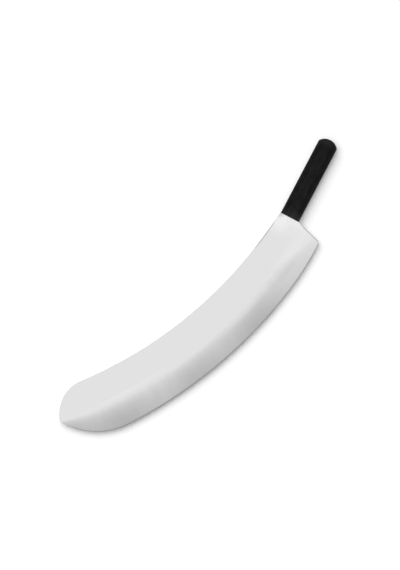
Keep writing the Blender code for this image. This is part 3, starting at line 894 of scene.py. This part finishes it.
def steel_material(outline, finish, name, tone, roughness, line_width, line_depth):
    """Gives one of the blade's finishes, with grinding lines, soft spots, painted highlights by the neck and
    painted shade.
    """
    material, tree, shader = new_material(name)
    split = tree.parts(tree.place())
    along, radius = edge_coordinates(tree, split, outline)
    lines = streaks(tree, along, radius, line_width, LINE_LENGTH)
    coarse = streaks(tree, along, radius, line_width * COARSE_RATIO, COARSE_LENGTH)

    # painted highlights by the handle and above the grind's end, the soft spots, and a painted shade in the
    # corner by the handle
    brighter = tree.math("ADD", neck_painted_highlight(tree, split, along, radius, outline),
                         soft_spots_and_painted_light(tree, along, radius))
    # the cutting bevel's painted shade, lighter towards its ends
    if finish == BEVEL:
        tone = bevel_painted_shade(tree, along, tone)
    brightness = tree.math("MULTIPLY", tree.math("ADD", brighter, 1.0), tone)
    # the ground face's duller finish and painted shade
    if finish == GROUND:
        brightness = ground_dulling_and_shade(tree, brightness, split, along, radius)
    contrast = tree.ramp(lines, *LINE_NOISE, 1 - LINE_CONTRAST, 1 + LINE_CONTRAST)
    smoothest = roughness * (1 - ROUGHNESS_SPREAD)
    roughest = roughness * (1 + ROUGHNESS_SPREAD)
    relief = tree.math("ADD", lines, tree.math("MULTIPLY", coarse, COARSE_DEPTH))
    tree.set(shader, {
        "Base Color": tree.grey(tree.math("MULTIPLY", brightness, contrast)),
        "Metallic": 1.0,
        "Roughness": tree.ramp(coarse, *ROUGHNESS_NOISE, smoothest, roughest),
        "Normal": tree.bump(relief, line_depth),
    })
    return material


def plastic_material(outline):
    """Gives black moulded plastic with a fine grain, soft blotches and a painted highlight at both ends."""
    material, tree, shader = new_material("handle_plastic_finish")
    place = tree.place()
    split = tree.parts(place)
    lengthwise = length_towards(tree, split, outline.handle_front, outline.along)
    crosswise = length_towards(tree, split, outline.handle_front, outline.across)
    blotch_length, blotch_width = MOTTLE_SIZE
    drawn_out = tree.vector(X=tree.math("DIVIDE", lengthwise, blotch_length),
                            Y=tree.math("DIVIDE", crosswise, blotch_width))
    grain = tree.noise(place, 1 / GRAIN_SIZE, detail=3.0, roughness=0.6)
    blotches = tree.noise(drawn_out, 1.0)
    mottle = tree.ramp(blotches, *MOTTLE_NOISE, 0.0, PLASTIC_MOTTLE)
    # painted highlight at the front end, and a weaker one at the butt
    front = tree.math("MULTIPLY", tree.ramp(lengthwise, 0.0, FRONT_HIGHLIGHT_RUN, PLASTIC_END_HIGHLIGHT, 0.0),
                      tree.ramp(crosswise, *FRONT_HIGHLIGHT_SPREAD, 1.0, FRONT_HIGHLIGHT_LEAST))
    butt = tree.ramp(lengthwise, *BUTT_HIGHLIGHT_FADE, 0.0, BUTT_HIGHLIGHT)
    lighter = tree.math("ADD", tree.math("MAXIMUM", front, butt), mottle)
    relief = tree.math("ADD", grain, tree.math("MULTIPLY", blotches, MOTTLE_DEPTH))
    smoothest = PLASTIC_ROUGHNESS - PLASTIC_ROUGHNESS_SPREAD
    roughest = PLASTIC_ROUGHNESS + PLASTIC_ROUGHNESS_SPREAD
    tree.set(shader, {
        "Base Color": tree.grey(tree.math("ADD", lighter, PLASTIC_TONE)),
        "Roughness": tree.ramp(grain, *GRAIN_NOISE, smoothest, roughest),
        "Normal": tree.bump(relief, GRAIN_DEPTH),
        "Specular IOR Level": PLASTIC_SPECULAR,
    })
    return material


def pin_material():
    """Gives turned steel for the hidden pins."""
    material, tree, shader = new_material("pin_steel_finish")
    split = tree.parts(tree.place())
    lines = tree.noise(tree.vector(Z=tree.math("DIVIDE", split["Z"], PIN_LINE_WIDTH)), 1.0)
    tree.set(shader, {
        "Base Color": tree.grey(tree.ramp(lines, *PIN_NOISE, *PIN_TONES)),
        "Metallic": 1.0,
        "Roughness": tree.ramp(lines, *PIN_NOISE, *PIN_ROUGHNESSES),
        "Normal": tree.bump(lines, PIN_LINE_DEPTH, PIN_LINE_STRENGTH),
    })
    return material


def build_blade(outline, shift):
    """Makes the finished blade in place of the CAD's."""
    places = [outline.on_handle(station, 0) for station in pin_stations()]
    blade = finished_piece("blade_finished", half_blade(outline), places, True, Matrix.Identity(4))
    for place, finish in enumerate(BLADE_FINISHES):
        blade.data.materials.append(steel_material(outline, place, *finish))
    blade.location = shift
    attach(blade, "root")
    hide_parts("blade")


def build_scales(outline, shift):
    """Makes the finished scales in place of the CAD's, the lower one rolled over from the upper one."""
    plastic = plastic_material(outline)
    places = [Vector((station, 0)) for station in pin_stations()]
    to_front = Matrix.Translation(outline.handle_front.to_3d())
    for node, roll in (("handle_scale_upper", 0.0), ("handle_scale_lower", math.pi)):
        turn = to_front @ Euler((roll, 0, HANDLE_ANGLE)).to_matrix().to_4x4()
        scale = finished_piece(node + "_finished", scale_mesh(), places, False, turn)
        scale.data.materials.append(plastic)
        scale.location = shift
        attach(scale, "root")
        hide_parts(node)


def finish_pins(frame):
    """Gives the CAD's pins their steel."""
    steel = pin_material()
    for index in range(PIN_COUNT):
        pin = frame["nodes"][f"tang_pin_{index + 1}"]
        pin.data.materials.clear()
        pin.data.materials.append(steel)


def build_pieces(frame, outline):
    """Makes the finished pieces, with the blade's tip and the bottom of its edge where the CAD has them."""
    blade_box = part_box("blade")
    lowest_x = min(point.x for point in outline.nose())
    lowest_y = min(point.y for point in outline.edge())
    shift = Vector((blade_box[0].x - lowest_x, blade_box[0].y - lowest_y, HALF_HANDLE))
    build_blade(outline, shift)
    build_scales(outline, shift)
    finish_pins(frame)


def floor_material():
    """Gives a white that takes a shadow, and glows a little where it is seen, to show as pure white."""
    material = bpy.data.materials.new("floor_white")
    material.use_nodes = True
    tree = Tree(material.node_tree)
    tree.nodes.clear()
    path = tree.add("ShaderNodeLightPath").outputs
    seen = tree.math("MAXIMUM", path["Is Camera Ray"],
                     tree.math("MAXIMUM", path["Is Glossy Ray"], path["Is Transmission Ray"]))
    diffuse = tree.add("ShaderNodeBsdfDiffuse", {"Color": (FLOOR_COLOUR,) * 3 + (1.0,)})
    glow = tree.add("ShaderNodeEmission", {"Strength": tree.math("MULTIPLY", seen, FLOOR_GLOW)})
    both = tree.add("ShaderNodeAddShader")
    tree.links.new(diffuse.outputs[0], both.inputs[0])
    tree.links.new(glow.outputs[0], both.inputs[1])
    output = tree.add("ShaderNodeOutputMaterial")
    tree.links.new(both.outputs[0], output.inputs["Surface"])
    return material


def build_floor():
    """Makes the plain white floor, which takes the knife's shadow."""
    mesh = bpy.data.meshes.new("floor")
    half = FLOOR_SIZE / 2
    corners = [(-half, -half, 0), (half, -half, 0), (half, half, 0), (-half, half, 0)]
    mesh.from_pydata(corners, [], [(0, 1, 2, 3)])
    floor = bpy.data.objects.new("floor", mesh)
    bpy.context.scene.collection.objects.link(floor)
    mesh.materials.append(floor_material())


def box_light(tree, split, outline):
    """Gives the overhead box light: 1 in its soft-edged middle and 0 outside it."""
    origin = Vector((0, 0))
    lengthwise = length_towards(tree, split, origin, outline.along)
    lengthwise = tree.math("DIVIDE", lengthwise, math.sin(BOX_HALF_LENGTH))
    crosswise = length_towards(tree, split, origin, outline.across)
    crosswise = tree.math("SUBTRACT", crosswise, math.sin(BOX_LEAN))
    crosswise = tree.math("DIVIDE", crosswise, math.sin(BOX_HALF_WIDTH))
    from_middle = tree.hypotenuse(lengthwise, crosswise)
    upward = tree.math("GREATER_THAN", split["Z"], 0.0)
    return tree.math("MULTIPLY", tree.ramp(from_middle, 1.0, BOX_FADE, 1.0, 0.0), upward)


def build_world(outline):
    """Makes the surroundings: a box light overhead, a dimmer room, and white where the camera sees past all.

    Reflections also show white near the horizon.
    """
    world = bpy.data.worlds.new("studio")
    bpy.context.scene.world = world
    world.use_nodes = True
    tree = Tree(world.node_tree)
    tree.nodes.clear()
    split = tree.parts(tree.place("Generated"))
    path = tree.add("ShaderNodeLightPath").outputs
    horizon = tree.ramp(split["Z"], HORIZON_LOW, HORIZON_HIGH, 1.0, 0.0)
    horizon = tree.math("MULTIPLY", path["Is Glossy Ray"], horizon)
    room = tree.ramp(path["Is Glossy Ray"], 0.0, 1.0, ROOM_LEVEL, ROOM_SHEEN, "LINEAR")
    white = tree.math("MAXIMUM", box_light(tree, split, outline), horizon)
    lit = tree.ramp(white, 0.0, 1.0, room, 1.0, "LINEAR")
    straight = tree.math("MAXIMUM", path["Is Camera Ray"], path["Is Transmission Ray"])
    seen = tree.math("MAXIMUM", lit, straight)
    background = tree.add("ShaderNodeBackground", {"Color": tree.grey(seen), "Strength": 1.0})
    output = tree.add("ShaderNodeOutputWorld")
    tree.links.new(background.outputs[0], output.inputs["Surface"])


def build_key():
    """Makes the soft key light, which casts the shadow and leaves no glint."""
    lamp = bpy.data.lights.new("key", "SUN")
    lamp.energy = KEY_STRENGTH
    lamp.angle = KEY_ANGLE
    key = bpy.data.objects.new("key", lamp)
    bpy.context.scene.collection.objects.link(key)
    bearing = CAMERA_TURN + KEY_BEARING
    level = math.cos(KEY_ELEVATION)
    towards = Vector((math.cos(bearing) * level, math.sin(bearing) * level, math.sin(KEY_ELEVATION)))
    key.rotation_mode = "QUATERNION"
    key.rotation_quaternion = towards.to_track_quat("Z", "Y")
    key.visible_glossy = False


def build_camera():
    """Makes the camera, which looks straight down from far away."""
    data = bpy.data.cameras.new("camera")
    data.sensor_width = SENSOR
    data.lens = SENSOR * CAMERA_DISTANCE / FRAME_LONG_SIDE
    camera = bpy.data.objects.new("camera", data)
    bpy.context.scene.collection.objects.link(camera)
    camera.location = CAMERA_TARGET + Vector((0, 0, CAMERA_DISTANCE))
    camera.rotation_euler = (0, 0, CAMERA_TURN)
    bpy.context.scene.camera = camera
    bpy.context.scene.view_settings.view_transform = "Standard"


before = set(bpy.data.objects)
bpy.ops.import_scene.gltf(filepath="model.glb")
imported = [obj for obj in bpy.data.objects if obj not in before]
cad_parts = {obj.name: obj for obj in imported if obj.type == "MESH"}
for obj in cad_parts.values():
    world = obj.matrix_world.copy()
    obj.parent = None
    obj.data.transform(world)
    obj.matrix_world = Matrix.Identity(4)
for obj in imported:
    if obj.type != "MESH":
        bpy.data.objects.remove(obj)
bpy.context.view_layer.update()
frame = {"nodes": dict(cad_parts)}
outline = Outline()
build_pieces(frame, outline)
build_floor()
build_world(outline)
build_key()
build_camera()
